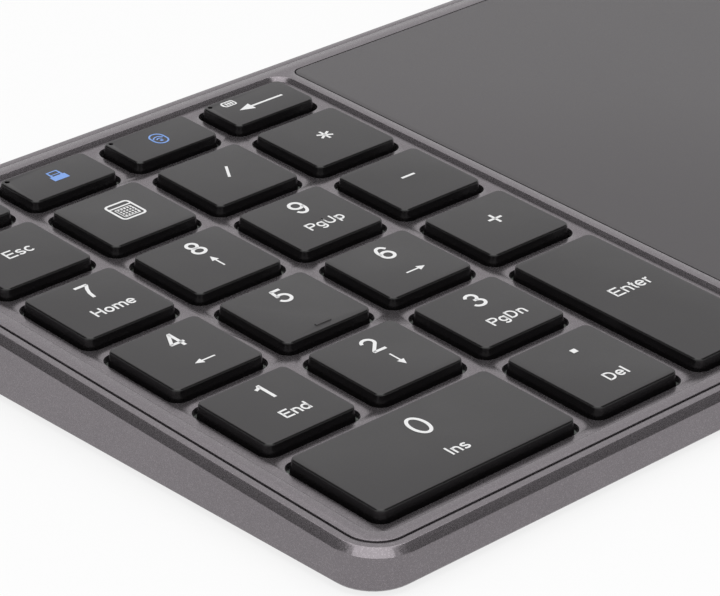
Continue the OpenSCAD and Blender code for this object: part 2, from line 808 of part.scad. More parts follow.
module keypad_ribbon() {
    start_x = grid_left + grid_w + plate_margin;
    start_z = deck_height + (key_connector_y - deck_shift) * sin(wedge) + plate_top + 0.05;
    end_z = slot_z + (connector_slot - ribbon_t) / 2;
    color("#c98a3c") translate([0, key_connector_y, 0]) ribbon([
        [start_x + 0.05, start_z], [start_x + board_gap / 3, start_z],
        [start_x + board_gap * 2 / 3, end_z], [key_connector_x - 0.8, end_z]
    ], keypad_ribbon_w);
}

module touch_ribbon() {
    end_z = slot_z + (connector_slot - ribbon_t) / 2;
    end_y = touch_connector_y - 0.8;
    start_y = end_y - 12;
    start_z = deck_height + (start_y - deck_shift) * sin(wedge) - touch_t - sensor_t - ribbon_t - 0.3;
    color("#c98a3c") translate([touch_connector_x, 0, 0]) rotate(90) ribbon([
        [start_y - 4, start_z], [start_y + 1, start_z], [end_y - 3, end_z], [end_y, end_z]
    ], touch_ribbon_w);
}

module battery() {
    color("#a9b0b5") translate([battery_x, battery_y, 0])
        slab(battery_w, battery_d, 2, floor_z, floor_z + battery_t);
}

lead_r = 0.45;

module battery_leads() {
    start = battery_y + battery_d / 2;
    for (s = [0, 1]) color(s == 0 ? "#b02020" : "#181818")
        translate([board_x + board_w / 2 - 14 + 3 * s, start, board_top + lead_r])
            rotate([-90, 0, 0]) cylinder(r = lead_r, h = board_y - board_d / 2 + 4 - start, $fn = 24);
}

// ---- Charging port and power switch in the back wall ----

usb_z = board_top + usb_h / 2;
usb_mouth = back_face(usb_z + usb_h / 2) - 0.3;
usb_wall = 0.3;
usb_back = 1;
port_play = 0.2;

// A flat oval tube along Y, from y = mouth towards the front
module oval(w, h, mouth, length) {
    translate([usb_x, mouth, usb_z]) rotate([90, 0, 0]) linear_extrude(length)
        rounded_rect(w, h, h / 2 - eps);
}

module usb_hole() {
    oval(usb_w + 2 * port_play, usb_h + 2 * port_play, usb_mouth + over, over + usb_l);
}

module usb_shell() {
    color(steel_colour) difference() {
        oval(usb_w, usb_h, usb_mouth, usb_l);
        oval(usb_w - 2 * usb_wall, usb_h - 2 * usb_wall, usb_mouth + eps, usb_l - usb_back + eps);
    }
}

module usb_tongue() {
    length = usb_l - usb_back - 0.8;
    color("#161618") box([6.7, length, 0.7], [usb_x, usb_mouth - 0.8 - length / 2, usb_z - 0.35]);
}

knob_w = 2.4;
knob_h = 1.3;
slider_base_w = 3.6;
slider_play = 0.15;
switch_w = slider_base_w + switch_travel + 3;
switch_h = 3.2;
switch_d = 3;
switch_z = board_top + switch_h / 2;
switch_face = back_face(switch_z) - case_wall - 0.6;
finger_depth = 0.7;
knob_end = back_face(switch_z + knob_h / 2) - 0.2;

module centred_box(size, at) {
    translate(at) cube(size, center = true);
}

module switch_hole() {
    slot_w = knob_w + switch_travel + 4 * slider_play;
    centred_box([slot_w, 2 * over, knob_h + 4 * slider_play], [switch_x, switch_face + over - 1, switch_z]);
    centred_box([slot_w + 3, over, knob_h + 1.8],
                [switch_x, back_face(switch_z) - finger_depth + over / 2, switch_z]);
}

module switch_body() {
    channel_w = slider_base_w + switch_travel + 2 * slider_play;
    color(steel_colour) difference() {
        centred_box([switch_w, switch_d, switch_h], [switch_x, switch_face - switch_d / 2, switch_z]);
        centred_box([channel_w, 2, 2], [switch_x, switch_face - 1.5, switch_z]);
        centred_box([knob_w + switch_travel + 2 * slider_play, 2, knob_h + 2 * slider_play],
                    [switch_x, switch_face, switch_z]);
    }
}

// Drawn at the off end of its travel
module power_slider() {
    x = switch_x - switch_travel / 2;
    base_d = 2 - 2 * slider_play;
    neck = knob_end - switch_face + 1.5;
    color("#202022") {
        centred_box([slider_base_w, base_d, 2 - 2 * slider_play], [x, switch_face - 1.5, switch_z]);
        centred_box([knob_w, neck, knob_h], [x, knob_end - neck / 2, switch_z]);
    }
}

// ---- Drawing ----

bottom_case();
top_cover();
touch_panel();
touch_sensor_board();
key_plate();
membrane_sheet();
for (k = KEYS) keycap(k);
for (r = [0:ROWS - 1]) scissors(r);
for (r = [0:ROWS - 1]) domes(r);
stabiliser("0");  // stabiliser_0
stabiliser("enter");  // stabiliser_enter
main_board();
controller_chips();
ribbon_connectors();
keypad_ribbon();
touch_ribbon();
battery();
battery_leads();
usb_shell();
usb_tongue();
switch_body();
power_slider();
indicator_leds();
rubber_feet();
case_screws();
board_screws();
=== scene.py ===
"""Numeric keypad with a touch panel: the looks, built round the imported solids."""

import json
import math
from types import SimpleNamespace

import bmesh
import bpy
from mathutils import Matrix, Vector


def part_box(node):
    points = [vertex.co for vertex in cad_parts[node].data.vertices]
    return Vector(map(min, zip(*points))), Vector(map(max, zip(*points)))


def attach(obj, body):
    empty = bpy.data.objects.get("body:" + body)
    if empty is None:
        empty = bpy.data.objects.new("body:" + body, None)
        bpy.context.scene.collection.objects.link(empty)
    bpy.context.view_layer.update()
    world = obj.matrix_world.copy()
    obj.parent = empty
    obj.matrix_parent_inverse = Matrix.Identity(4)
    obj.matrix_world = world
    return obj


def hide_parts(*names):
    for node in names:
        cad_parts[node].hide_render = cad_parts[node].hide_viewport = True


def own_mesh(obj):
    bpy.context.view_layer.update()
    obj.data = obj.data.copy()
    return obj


bl_info = {
    "name": "Numeric Keypad with Touch Panel",
    "version": (1, 0, 0),
    "blender": (4, 5, 0),
    "location": "View3D > Sidebar > Keypad",
    "description": "Builds the case, keys, printed legends and studio of a numeric keypad",
    "category": "Add Mesh",
}

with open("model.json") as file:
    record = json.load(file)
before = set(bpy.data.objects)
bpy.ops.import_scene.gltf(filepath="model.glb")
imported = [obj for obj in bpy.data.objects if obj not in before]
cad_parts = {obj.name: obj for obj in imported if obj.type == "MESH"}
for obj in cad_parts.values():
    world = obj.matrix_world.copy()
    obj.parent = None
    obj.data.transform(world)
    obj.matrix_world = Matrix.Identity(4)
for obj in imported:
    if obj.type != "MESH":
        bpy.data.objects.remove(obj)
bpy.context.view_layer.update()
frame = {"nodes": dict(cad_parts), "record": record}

MM = 0.001

# The solids' own sizes, in millimetres.
WEDGE = math.radians(2.6)
PANEL_T = 1.0
KEY_BEVEL = 0.2
CHAMFER_H = 0.9
WELL_DEPTH = 0.65
HALF_DEPTH = 57.0
# Heights of the links' lower and upper pins on the deck.
LOW_PIN, HIGH_PIN = -3.4, -1.15
# How far inside the outline the chamfer's upper and lower edges end, and where the strip's starts.
CHAMFER_END, WALL_END, STRIP_START = 1.4, 0.4, 1.6

# The least bend, in degrees, of an edge that is kept sharp, and of one that is rounded.
SHARP_BEND = 32
LEAST_BEND, KEY_BEND, OPENING_BEND = 24, 18, 60

FLAT_NODES = ["bottom_case", "top_cover", "touch_panel"]
SPRING_NODES = sorted(n for n in frame["nodes"] if n.startswith(("scissors_", "domes_")))
KEY_NODES = [n for n in frame["nodes"] if n.startswith("key_") and n != "key_plate"]

# The studio, in metres. The lamp and the cards face the origin.
FLOOR_HALF, FLOOR_DROP, FLOOR_GLOW = 6.0, 0.0001, 0.8
WORLD_LIGHT = 0.55
LAMP_PLACE, LAMP_EDGE, LAMP_GLOW = (-0.1, -0.1, 1.1), 1.4, 1.3
CARDS = {"flag_left": (-0.52, 0.66, 0.56), "flag_front": (0.64, -0.52, 0.58)}
CARD_HALF, CARD_GREY = 0.5, (0.2, 0.2, 0.2)

# The camera on the deck, in millimetres.
VIEW_PLACE = (-340.374, -312.909, 229.436)
VIEW_FORWARD, VIEW_RIGHT = (0.60352, 0.63743, -0.479), (0.73427, -0.67849, 0.02226)
VIEW_LENS, VIEW_SENSOR = 177.582, 36


# ---- The deck: the tilted top face, in millimetres, with w = 0 at the top of the rim ----


def deck_matrix():
    """The matrix from the deck's millimetres to the frame, found from the touch panel."""
    low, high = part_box("touch_panel")
    tilt = math.sin(WEDGE)
    reach = (high.y - low.y - PANEL_T * MM * tilt) / (2 * math.cos(WEDGE))
    shift = (low.y + high.y - PANEL_T * MM * tilt) / 2
    height = high.z - reach * tilt
    place = Matrix.Translation((0, shift, height)) @ Matrix.Rotation(WEDGE, 4, "X")
    return place @ Matrix.Scale(MM, 4)


DECK = deck_matrix()
FLAT = DECK.inverted()
UP = (DECK.to_3x3() @ Vector((0, 0, 1))).normalized()


def deck_box(node):
    """Lowest and highest corner of a CAD node on the deck, in millimetres."""
    points = [FLAT @ v.co for v in frame["nodes"][node].data.vertices]
    low = Vector([min(p[i] for p in points) for i in range(3)])
    high = Vector([max(p[i] for p in points) for i in range(3)])
    return low, high


# ---- Sizes and colours that a user may change ----


def size(label, text, default, low, high):
    """A length that a user may change. The numbers given here are millimetres."""
    return bpy.props.FloatProperty(
        name=label, description=text, default=default * MM, min=low * MM, max=high * MM,
        subtype="DISTANCE", unit="LENGTH", precision=5,
    )


def colour(label, text, default):
    """A colour that a user may change."""
    return bpy.props.FloatVectorProperty(
        name=label, description=text, default=default, size=3, min=0, max=1, subtype="COLOR"
    )


def in_mm(group):
    """The lengths of a property group as numbers of millimetres."""
    return SimpleNamespace(**{name: getattr(group, name) / MM for name in group.__annotations__})


class KeypadEdges(bpy.types.PropertyGroup):
    """Widths of the rounded edges."""

    key: size("Key edge", "Rounding of a key top's edges", 0.09, 0.02, 0.12)
    chamfer: size("Chamfer edge", "Rounding of the case chamfer's edges", 0.16, 0.02, 0.3)
    rim: size("Rim edge", "Rounding of the rim, the strip and the panel", 0.07, 0.02, 0.1)
    opening: size("Opening edge", "Rounding of the key openings", 0.12, 0.02, 0.25)


class KeypadPrint(bpy.types.PropertyGroup):
    """Sizes of the printed legends."""

    digit: size("Digit height", "Height of a digit", 3.62, 2, 5)
    zero: size("Zero height", "Height of the digit on the wide key", 4.45, 2, 6)
    word: size("Word height", "Height of a capital in a small word", 1.92, 1, 3)
    stroke: size("Digit stroke", "Width of a digit's stroke", 0.5, 0.2, 0.8)
    fine: size("Word stroke", "Width of a small word's stroke", 0.31, 0.1, 0.5)
    thick: size("Ink thickness", "Thickness of the ink", 0.02, 0.01, 0.05)
    shift: size("Shift", "Sideways distance of a digit from the middle of the key", 0.65, -1, 2)


class KeypadColours(bpy.types.PropertyGroup):
    """Colours of the finishes."""

    paint: colour("Paint", "Metallic paint of the case", (0.192, 0.175, 0.187))
    panel: colour("Panel", "Matte touch panel", (0.068, 0.062, 0.066))
    key: colour("Key", "Black plastic of the keys", (0.019, 0.0165, 0.018))
    ink: colour("Ink", "White ink of the legends", (0.86, 0.86, 0.86))
    mark: colour("Mark", "Blue ink of the marks", (0.2, 0.37, 0.8))
    floor: colour("Floor", "Floor of the studio", (0.93, 0.93, 0.93))


def chosen_colours():
    """The colours that the scene is set to."""
    return bpy.context.scene.keypad_colours


# ---- Shader maths ----


class Val:
    """A number in a shader. Expressions on it add Math nodes."""

    def __init__(self, look, socket):
        self.look, self.socket = look, socket

    def _op(self, kind, first, second):
        return self.look.maths(kind, first, second)

    def __add__(self, other):
        return self._op("ADD", self, other)

    __radd__ = __add__

    def __sub__(self, other):
        return self._op("SUBTRACT", self, other)

    def __rsub__(self, other):
        return self._op("SUBTRACT", other, self)

    def __mul__(self, other):
        return self._op("MULTIPLY", self, other)

    __rmul__ = __mul__

    def __gt__(self, other):
        return self._op("GREATER_THAN", self, other)


class Look:
    """A procedural material whose pattern lies on Object coordinates."""

    def __init__(self, name, **sockets):
        self.material = bpy.data.materials.new(name)
        self.material.use_nodes = True
        self.tree = self.material.node_tree
        self.shader = self.tree.nodes["Principled BSDF"]
        self.place = self.tree.nodes.new("ShaderNodeTexCoord").outputs["Object"]
        self.set(**sockets)

    def set(self, **sockets):
        """Sets or links sockets of the surface shader, by their names in small letters."""
        for name, value in sockets.items():
            socket = name.replace("_", " ").title().replace("Ior", "IOR")
            self.feed(self.shader.inputs[socket], value)
        return self

    def feed(self, socket, value):
        """Links a socket, or sets it to a number, a vector or a colour."""
        if isinstance(value, Val):
            value = value.socket
        if isinstance(value, bpy.types.NodeSocket):
            self.tree.links.new(value, socket)
        elif hasattr(value, "__len__") and len(value) == 3 and len(socket.default_value) == 4:
            socket.default_value = (*value, 1)
        else:
            socket.default_value = value

    def node(self, kind, settings=(), out=0, **inputs):
        """Adds a node: its settings first, then the values or links of its sockets.

        A socket is given by its name, or by its number after an underscore.
        """
        node = self.tree.nodes.new(kind)
        for name, value in dict(settings).items():
            setattr(node, name, value)
        for name, value in inputs.items():
            key = int(name[1:]) if name[0] == "_" else name
            self.feed(node.inputs[key], value)
        return Val(self, node.outputs[out])

    def maths(self, kind, first, second):
        return self.node("ShaderNodeMath", {"operation": kind}, _0=first, _1=second)

    def noise(self, scale, detail=2.0, rough=0.5):
        """Cloudy noise, from 0 to 1, with features of 1 / scale metres."""
        return self.node(
            "ShaderNodeTexNoise", _0=self.place, Scale=scale, Detail=detail, Roughness=rough
        )

    def flakes(self, scale):
        """A random number for each small cell."""
        cells = self.node("ShaderNodeTexVoronoi", {"feature": "F1"}, 1, _0=self.place, Scale=scale)
        return self.node("ShaderNodeSeparateColor", _0=cells)

    def ramp(self, value, low, high, start=0.0, end=1.0):
        """Maps low to start and high to end, without running past them."""
        return self.node(
            "ShaderNodeMapRange", {"clamp": True}, _0=value, _1=low, _2=high, _3=start, _4=end
        )

    def blend(self, mask, first, second):
        """A colour between two, by a mask."""
        mix = self.tree.nodes.new("ShaderNodeMix")
        mix.data_type = "RGBA"
        self.feed(mix.inputs["Factor"], mask)
        self.feed(mix.inputs[6], first)
        self.feed(mix.inputs[7], second)
        return Val(self, mix.outputs[2])

    def bump(self, height, distance, strength=1.0):
        """A normal from a height; distance in metres."""
        self.set(Normal=self.node(
            "ShaderNodeBump", Height=height, Distance=distance, Strength=strength
        ))
        return self


def shade(base, factor):
    """A colour made lighter or darker."""
    return tuple(min(1, c * factor) for c in base)


def paint_look():
    """Metallic paint with fine flakes."""
    paint = chosen_colours().paint
    look = Look("case paint", metallic=0.85, specular_ior_level=0.5)
    spark = look.ramp(look.flakes(9000), 0.7, 1)
    cloud = look.noise(90, 3)
    base = look.blend(cloud, shade(paint, 0.93), shade(paint, 1.05))
    look.set(base_color=look.blend(spark * 0.34, base, shade(paint, 2.0)))
    look.set(roughness=look.ramp(look.noise(4000, 1), 0.3, 0.7, 0.23, 0.31) - spark * 0.04)
    return look.bump(look.noise(3600, 2), 0.00001, 0.35)


def panel_look():
    """Matte panel with a fine grain."""
    panel = chosen_colours().panel
    look = Look("touch panel", specular_ior_level=0.5)
    grain = look.noise(6500, 2)
    base = look.blend(look.noise(60, 3), shade(panel, 0.96), shade(panel, 1.04))
    specks = look.ramp(grain, 0.6, 0.8) * 0.3
    look.set(base_color=look.blend(specks, base, shade(panel, 1.4)))
    look.set(roughness=look.ramp(grain, 0.3, 0.7, 0.44, 0.52))
    return look.bump(grain, 0.000006, 0.3)


def key_look():
    """Matte grain on a key's top face and gloss on its sides, told apart by height. The sides are
    painted darker than the top, as painted shade.
    """
    plastic, skin = chosen_colours().key, 0.04
    look = Look("key plastic", specular_ior_level=0.5)
    edge = DECK @ Vector((0, 0, deck_box(KEY_NODES[0])[1].z - skin))
    height = look.node(
        "ShaderNodeVectorMath", {"operation": "DOT_PRODUCT"}, 1, _0=look.place, _1=tuple(UP)
    )
    top = height > edge.dot(UP)
    grain = look.noise(7000, 2)
    # Painted shade: the sides get a quarter of the key colour, darker than the top of the same
    # plastic
    look.set(base_color=look.blend(top, shade(plastic, 0.25), plastic))
    matte = look.ramp(grain, 0.3, 0.7, 0.4, 0.47)
    smear = look.ramp(look.noise(130, 3), 0.45, 0.7, 0, 0.03)
    look.set(roughness=(matte - smear) * top + (1 - top) * 0.26)
    return look.bump(grain * top, 0.000005, 0.3)


def plain_look(name, base, roughness, scale, spread=0.12, **sockets):
    """A finish with a little mottling in its colour and its gloss."""
    look = Look(name, **sockets)
    cloud = look.noise(scale, 3)
    look.set(base_color=look.blend(cloud, shade(base, 1 - spread), shade(base, 1 + spread)))
    return look.set(roughness=look.ramp(cloud, 0.3, 0.7, roughness - 0.05, roughness + 0.05))


def board_look():
    """Solder mask with copper tracks and small gold pads under it."""
    look = Look("circuit board")
    grid = look.node(
        "ShaderNodeTexBrick", {"offset": 0.5}, 1, _0=look.place, Scale=420.0,
        **{"Mortar Size": 0.06, "Mortar Smooth": 0.1}
    )
    pads = look.ramp(look.flakes(620), 0.93, 0.95)
    base = look.blend(grid, (0.012, 0.11, 0.05), (0.03, 0.2, 0.09))
    look.set(base_color=look.blend(pads, base, (0.75, 0.55, 0.2)), roughness=0.38 - pads * 0.1)
    return look.set(metallic=pads * 0.9)


def film_look():
    """Clear film with printed silver tracks."""
    look = Look("membrane film")
    tracks = look.node(
        "ShaderNodeTexWave", {"wave_type": "BANDS", "bands_direction": "DIAGONAL"}, 1,
        _0=look.place, Scale=180.0, Distortion=1.5,
    )
    lines = look.ramp(tracks, 0.86, 0.92)
    look.set(base_color=look.blend(lines, (0.62, 0.67, 0.63), (0.3, 0.31, 0.32)))
    return look.set(roughness=0.3 + lines * 0.2)


def foil_look():
    """Crinkled laminate of the battery pouch."""
    look = Look("cell foil", metallic=0.9, base_color=(0.5, 0.51, 0.53))
    crease = look.noise(260, 4, 0.6)
    look.set(roughness=look.ramp(crease, 0.3, 0.7, 0.22, 0.4))
    return look.bump(crease, 0.00012, 0.5)


def steel_look():
    """Rolled steel with fine lines along X."""
    look = Look("sheet steel", metallic=1.0)
    grain = look.node("ShaderNodeMapping", _0=look.place, Scale=(60.0, 2600.0, 2600.0))
    lines = look.node("ShaderNodeTexNoise", _0=grain, Scale=1.0, Detail=2.0)
    look.set(base_color=look.blend(lines, (0.5, 0.51, 0.52), (0.63, 0.64, 0.65)))
    return look.set(roughness=look.ramp(lines, 0.3, 0.7, 0.25, 0.38))


# Plain finishes: name, colour, roughness, mottles to a metre, and what else is set.
PLAIN = {
    "scissor_plastic": ("scissor plastic", (0.74, 0.74, 0.71), 0.42, 900, {"spread": 0.04}),
    "dome_rubber": (
        "dome silicone", (0.42, 0.45, 0.47), 0.5, 1200, {"subsurface_weight": 0.2}
    ),
    "chip_black": ("chip moulding", (0.014, 0.014, 0.015), 0.55, 5000, {}),
    "connector_plastic": ("connector nylon", (0.74, 0.68, 0.54), 0.5, 2000, {"spread": 0.05}),
    "ribbon_film": ("ribbon film", (0.55, 0.24, 0.05), 0.28, 1500, {}),
    "lead_wire": ("wire insulation", (0.42, 0.02, 0.02), 0.4, 2500, {}),
    "switch_knob": ("switch knob", (0.02, 0.02, 0.021), 0.5, 6000, {"spread": 0.2}),
    "lamp_resin": ("lamp resin", (0.82, 0.79, 0.66), 0.35, 3000, {"spread": 0.05}),
    "foot_rubber": ("foot rubber", (0.022, 0.022, 0.023), 0.72, 2600, {"spread": 0.25}),
}
OWN_LOOKS = {
    "case_paint": paint_look,
    "touch_surface": panel_look,
    "key_black": key_look,
    "circuit_board": board_look,
    "membrane": film_look,
    "cell_foil": foil_look,
    "steel": steel_look,
    "white_ink": lambda: plain_look("white ink", chosen_colours().ink, 0.45, 3000, 0.03),
    "blue_ink": lambda: plain_look("blue ink", chosen_colours().mark, 0.45, 3000, 0.05),
}
made_looks = {}


def look(name):
    """A finish by its name, which is the record's slot name for all but the inks."""
    if name not in made_looks:
        if name in PLAIN:
            *given, extra = PLAIN[name]
            made_looks[name] = plain_look(*given, **extra).material
        else:
            made_looks[name] = OWN_LOOKS[name]().material
    return made_looks[name]


def dress(node, name):
    """Gives a CAD node a finish through its own material slots."""
    slots = frame["nodes"][node].data.materials
    if not slots:
        slots.append(look(name))
    for i in range(len(slots)):
        slots[i] = look(name)


# ---- Mesh tools ----


def new_piece(name, bm, finish, body, nodes=()):
    """Makes a piece at the origin that rides on a body and stands for some CAD nodes."""
    mesh = bpy.data.meshes.new(name)
    bm.to_mesh(mesh)
    bm.free()
    if "custom_normal" in mesh.attributes:
        mesh.attributes.remove(mesh.attributes["custom_normal"])
    mesh.shade_smooth()
    mesh.set_sharp_from_angle(angle=math.radians(SHARP_BEND))
    mesh.materials.clear()
    mesh.materials.append(look(finish))
    mesh.polygons.foreach_set("material_index", [0] * len(mesh.polygons))
    piece = bpy.data.objects.new(name, mesh)
    bpy.context.scene.collection.objects.link(piece)
    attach(piece, body)
    if nodes:
        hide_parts(*nodes)
    return piece


def merged_copy(node):
    """A CAD node's mesh with its loose triangles joined and its flat faces made whole."""
    gap, bend = 2e-6, math.radians(0.6)
    bm = bmesh.new()
    bm.from_mesh(frame["nodes"][node].data)
    bmesh.ops.remove_doubles(bm, verts=bm.verts, dist=gap)
    bmesh.ops.dissolve_limit(bm, angle_limit=bend, verts=bm.verts, edges=bm.edges)
    return bm


def round_edges(bm, wanted, width, steps, least=LEAST_BEND):
    """Rounds the edges that bend enough and whose two ends, on the deck, pass a test."""
    chosen = [
        edge for edge in bm.edges
        if len(edge.link_faces) == 2
        and abs(edge.calc_face_angle_signed(0)) >= math.radians(least)
        and wanted([FLAT @ v.co for v in edge.verts])
    ]
    if not chosen:
        raise RuntimeError("no edge passed the test")
    bmesh.ops.bevel(
        bm, geom=chosen, offset=width * MM, offset_type="OFFSET", segments=steps,
        profile=0.5, affect="EDGES", clamp_overlap=True,
    )


def level(*heights, near=0.015):
    """A test for edges that lie on the deck at one of some heights."""
    return lambda ends: any(all(abs(p.z - height) < near for p in ends) for height in heights)


# ---- Legends: strokes of ink, in units of a capital's height ----

# A glyph is its advance and its strokes. A stroke is a run of points (x, y) and of arcs:
# (centre x, centre y, radius x, radius y, from, to), with the last two in degrees.
GLYPHS = {
    "0": (0.66, [[(0.33, 0.5, 0.27, 0.44, 0, 360)]]),
    "1": (0.52, [[(0.42, 0), (0.42, 1)], [(0.41, 0.94), (0.32, 0.81), (0.15, 0.755)]]),
    "2": (0.66, [[(0.33, 0.7, 0.26, 0.24, 172, -38), (0.1, 0.12), (0.07, 0.04)],
                 [(0.03, 0.06), (0.63, 0.06)]]),
    "3": (0.66, [[(0.32, 0.725, 0.23, 0.215, 165, -80)], [(0.32, 0.285, 0.27, 0.225, 100, -168)]]),
    "4": (0.66, [[(0.49, 0), (0.49, 1)], [(0.65, 0.27), (0.02, 0.27)],
                 [(0.06, 0.25), (0.47, 0.96)]]),
    "5": (0.66, [[(0.6, 0.94), (0.15, 0.94)], [(0.19, 0.97), (0.13, 0.46)],
                 [(0.32, 0.325, 0.27, 0.265, 142, -165)]]),
    "6": (0.66, [[(0.33, 0.315, 0.26, 0.255, 0, 360)], [(0.35, 0.5, 0.28, 0.44, 192, 32)]]),
    "7": (0.66, [[(0.03, 0.94), (0.63, 0.94)],
                 [(0.6, 0.93), (0.42, 0.66), (0.3, 0.36), (0.25, 0)]]),
    "8": (0.66, [[(0.33, 0.735, 0.215, 0.205, 0, 360)], [(0.33, 0.28, 0.265, 0.222, 0, 360)]]),
    "9": (0.66, [[(0.33, 0.685, 0.26, 0.255, 0, 360)], [(0.31, 0.5, 0.28, 0.44, 12, -148)]]),
    "D": (1.0, [[(0.18, 0), (0.18, 1)],
                [(0.18, 0.93), (0.42, 0.93), (0.44, 0.5, 0.38, 0.43, 90, -90), (0.18, 0.07)]]),
    "E": (0.93, [[(0.18, 0), (0.18, 1)], [(0.18, 0.93), (0.86, 0.93)], [(0.18, 0.52), (0.8, 0.52)],
                 [(0.18, 0.07), (0.88, 0.07)]]),
    "F": (0.85, [[(0.18, 0), (0.18, 1)], [(0.18, 0.93), (0.82, 0.93)],
                 [(0.18, 0.52), (0.74, 0.52)]]),
    "H": (1.0, [[(0.17, 0), (0.17, 1)], [(0.83, 0), (0.83, 1)], [(0.17, 0.52), (0.83, 0.52)]]),
    "I": (0.39, [[(0.195, 0), (0.195, 1)]]),
    "P": (0.93, [[(0.18, 0), (0.18, 1)],
                 [(0.18, 0.93), (0.56, 0.93), (0.57, 0.7, 0.24, 0.23, 90, -90), (0.18, 0.47)]]),
    "U": (1.0, [[(0.17, 1), (0.17, 0.36), (0.5, 0.37, 0.33, 0.31, 180, 360),
                 (0.83, 0.36), (0.83, 1)]]),
    "c": (0.7, [[(0.36, 0.365, 0.26, 0.3, 42, 318)]]),
    "d": (0.775, [[(0.62, 0), (0.62, 1)], [(0.36, 0.365, 0.26, 0.3, 0, 360)]]),
    "e": (0.775, [[(0.12, 0.37), (0.65, 0.37)], [(0.385, 0.365, 0.27, 0.3, 0, 322)]]),
    "g": (0.775, [[(0.36, 0.38, 0.26, 0.29, 0, 360)],
                  [(0.62, 0.72), (0.62, 0), (0.37, -0.02, 0.25, 0.2, 0, -155)]]),
    "l": (0.31, [[(0.155, 0), (0.155, 1)]]),
    "m": (1.16, [[(0.15, 0), (0.15, 0.73)], [(0.365, 0.46, 0.215, 0.205, 165, 0), (0.58, 0)],
                 [(0.795, 0.46, 0.215, 0.205, 165, 0), (1.01, 0)]]),
    "n": (0.775, [[(0.15, 0), (0.15, 0.73)], [(0.385, 0.44, 0.235, 0.225, 165, 0), (0.62, 0)]]),
    "o": (0.775, [[(0.385, 0.365, 0.27, 0.3, 0, 360)]]),
    "p": (0.775, [[(0.15, 0.73), (0.15, -0.24)], [(0.41, 0.365, 0.26, 0.3, 0, 360)]]),
    "r": (0.46, [[(0.15, 0), (0.15, 0.73)], [(0.39, 0.36, 0.24, 0.3, 165, 82)]]),
    "s": (0.7, [[(0.34, 0.52, 0.21, 0.15, 25, 268), (0.34, 0.215, 0.235, 0.155, 88, -155)]]),
    "t": (0.39, [[(0.2, 0.93), (0.2, 0.2), (0.31, 0.19, 0.11, 0.12, 180, 280)],
                 [(0.03, 0.67), (0.36, 0.67)]]),
}

# What is printed on each key, in millimetres from the middle of the key.
# ("digit", figure, baseline, size), ("word", text, left, baseline[, height]),
# ("line", width, start, end), ("arrow", tail, tip), ("head", tip, way, length, width),
# ("star", middle, reach), or the name of an icon on its own.
DIGIT_BASE, WORD_BASE = 1.5, -3.15
LEGENDS = {
    "key_fn": [("word", "Fn", -1.6, -0.9, 2.0)],
    "key_esc": [("word", "Esc", -1.65, -0.45, 2.1)],
    "key_enter": [("word", "Enter", -2.95, 1.65, 2.2)],
    "key_7": [("digit", "7", DIGIT_BASE, "digit"), ("word", "Home", -2.75, WORD_BASE)],
    "key_8": [("digit", "8", DIGIT_BASE, "digit"), ("arrow", (0.65, -2.85), (0.65, 0.3))],
    "key_9": [("digit", "9", DIGIT_BASE, "digit"), ("word", "PgUp", -2.5, WORD_BASE)],
    "key_4": [("digit", "4", DIGIT_BASE, "digit"), ("arrow", (2.35, -3.1), (-1.05, -3.1))],
    "key_5": [("digit", "5", DIGIT_BASE, "digit")],
    "key_6": [("digit", "6", DIGIT_BASE, "digit"), ("arrow", (-1.05, -2.85), (2.4, -2.85))],
    "key_1": [("digit", "1", DIGIT_BASE, "digit"), ("word", "End", -1.25, -3.5)],
    "key_2": [("digit", "2", DIGIT_BASE, "digit"), ("arrow", (0.9, 0.15), (0.9, -3.15))],
    "key_3": [("digit", "3", DIGIT_BASE, "digit"), ("word", "PgDn", -2.3, -3.5)],
    "key_0": [("digit", "0", 1.25, "zero"), ("word", "Ins", -0.95, -4.55)],
    "key_decimal": [("line", 0.9, (0.35, 4.05), (1.25, 4.05)), ("word", "Del", -1.05, -4.5)],
    "key_divide": [("line", 0.42, (-0.4, -0.9), (1.4, 1.95))],
    "key_multiply": [("star", (0.25, 0.45), 1.25)],
    "key_minus": [("line", 0.42, (-0.85, 0.65), (1.65, 0.65))],
    "key_plus": [
        ("line", 0.42, (-0.7, 0.85), (1.8, 0.85)), ("line", 0.42, (0.55, -0.4), (0.55, 2.1))
    ],
    "key_backspace": [
        ("line", 0.4, (4.55, -0.2), (-2, -0.2)), ("head", (-3.85, -0.2), (-1, 0), 2.4, 1.9),
        ("cell",),
    ],
    "key_calculator": [("calculator",)],
    "key_lock": [("padlock",)],
    "key_wireless": [("waves",)],
}
BLUE_KEYS = {"key_lock", "key_wireless"}
ARROW_SHAFT, ARROW_HEAD, ARROW_WIDTH, ARROW_OVERLAP = 0.27, 1.25, 1.2, 0.35
STAR_STROKE, STAR_ARMS = 0.38, (90, 30, -30)
# How far ink reaches past the middle of a word's stroke, as a share of a capital's height.
INK_REACH = 0.07


def trace(stroke):
    """The points of a stroke, with its arcs cut into short steps."""
    least, turn = 4, 12
    points = []
    for item in stroke:
        if len(item) == 2:
            points.append(item)
            continue
        cx, cy, rx, ry, start, end = item
        steps = max(least, round(abs(end - start) / turn))
        for i in range(steps + 1):
            angle = math.radians(start + (end - start) * i / steps)
            points.append((cx + rx * math.cos(angle), cy + ry * math.sin(angle)))
    return points


def written(text, left, base, cap):
    """Strokes of a word whose first glyph's ink starts at left."""
    strokes, pen = [], 0.0
    for letter in text:
        advance, shapes = GLYPHS[letter]
        for shape in shapes:
            strokes.append([(pen + x, y) for x, y in trace(shape)])
        pen += advance
    first = min(x for x, y in strokes[0]) - INK_REACH
    return [[(left + (x - first) * cap, base + y * cap) for x, y in s] for s in strokes]


def rounded(cx, cy, w, h, r):
    """A closed rounded outline, as a stroke."""
    x, y = w / 2 - r, h / 2 - r
    points = trace([(cx + x, cy + y, r, r, 0, 90), (cx - x, cy + y, r, r, 90, 180),
                    (cx - x, cy - y, r, r, 180, 270), (cx + x, cy - y, r, r, 270, 360)])
    return points + points[:1]


